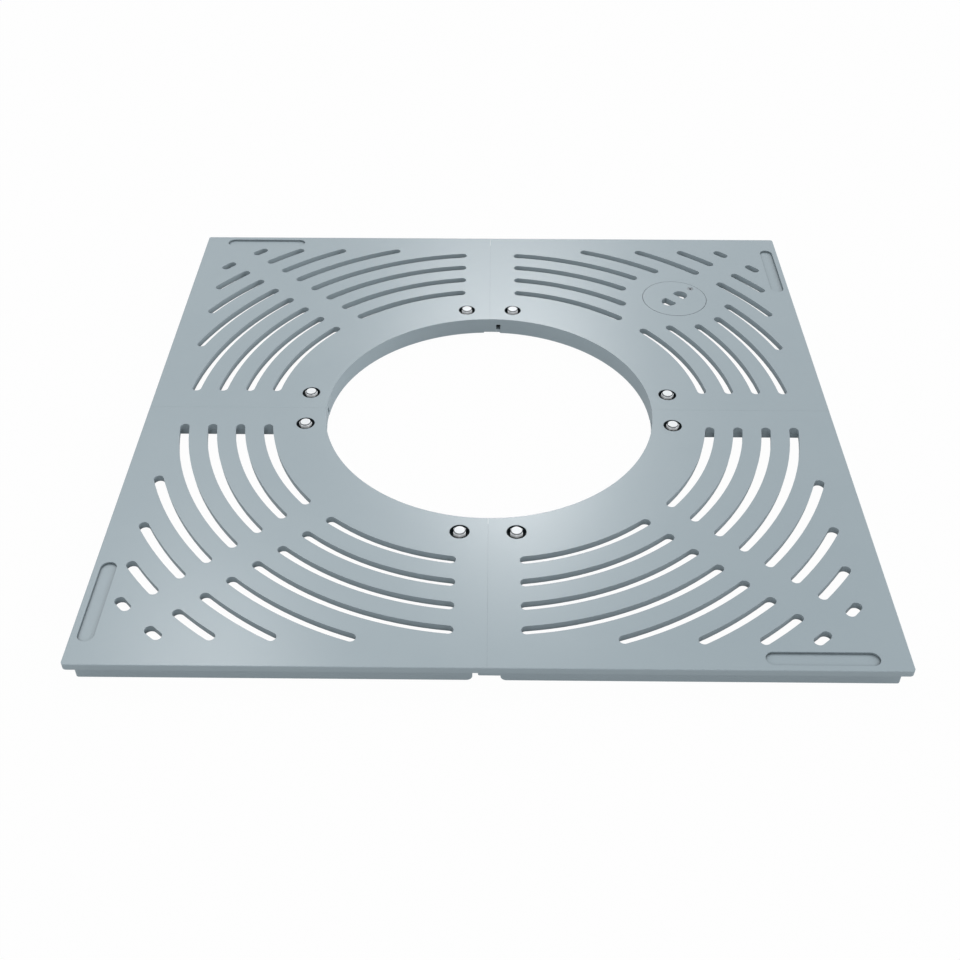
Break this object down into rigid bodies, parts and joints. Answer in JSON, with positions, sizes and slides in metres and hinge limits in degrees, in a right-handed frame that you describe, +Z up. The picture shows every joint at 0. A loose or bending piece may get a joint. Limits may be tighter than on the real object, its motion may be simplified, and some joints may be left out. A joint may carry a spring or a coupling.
{
  "type": "tree grate",
  "caption": "Square cast tree grate of bolted segments with curved slots, a round tree opening and a flush round access lid that lifts out.",
  "frame": {"origin": "middle of the tree opening, level with the foot of the outer ribs", "axes": "+Z up, -Y the front that the picture shows nearest, the lid in the +X +Y quarter"},
  "size_m": [1.5, 1.5, 0.053],
  "materials": {
    "casting": "cast, painted pale blue-grey, satin",
    "lid_casting": "cast, painted pale blue-grey, satin",
    "galvanised_steel": "hot-dip galvanised",
    "bright_zinc": "bright zinc plated",
    "stainless": "plain stainless steel",
    "black_plastic": "black, matt"
  },
  "bodies": {
    "grate": {"back_right_segment": "casting", "back_left_segment": "casting", "front_left_segment": "casting", "front_right_segment": "casting", "back_joint_plate": "galvanised_steel", "left_joint_plate": "galvanised_steel", "front_joint_plate": "galvanised_steel", "right_joint_plate": "galvanised_steel", "back_bolts": "bright_zinc", "left_bolts": "bright_zinc", "front_bolts": "bright_zinc", "right_bolts": "bright_zinc", "back_left_cup": "black_plastic", "back_right_cup": "black_plastic", "left_front_cup": "black_plastic", "left_rear_cup": "black_plastic", "front_left_cup": "black_plastic", "front_right_cup": "black_plastic", "right_front_cup": "black_plastic", "right_rear_cup": "black_plastic"},
    "lid": {"lid": "lid_casting"},
    "lid_screw": {"lid_screw": "stainless"}
  },
  "joints": [
    {"name": "lid_lift", "type": "slide", "parent": "grate", "child": "lid", "axis": [0, 0, 1], "range_m": [0, 0.12]},
    {"name": "lid_screw_turn", "type": "hinge", "parent": "lid", "child": "lid_screw", "pos_m": [0.50305, 0.50305, 0.0485], "axis": [0, 0, 1], "continuous": true}
  ]
}
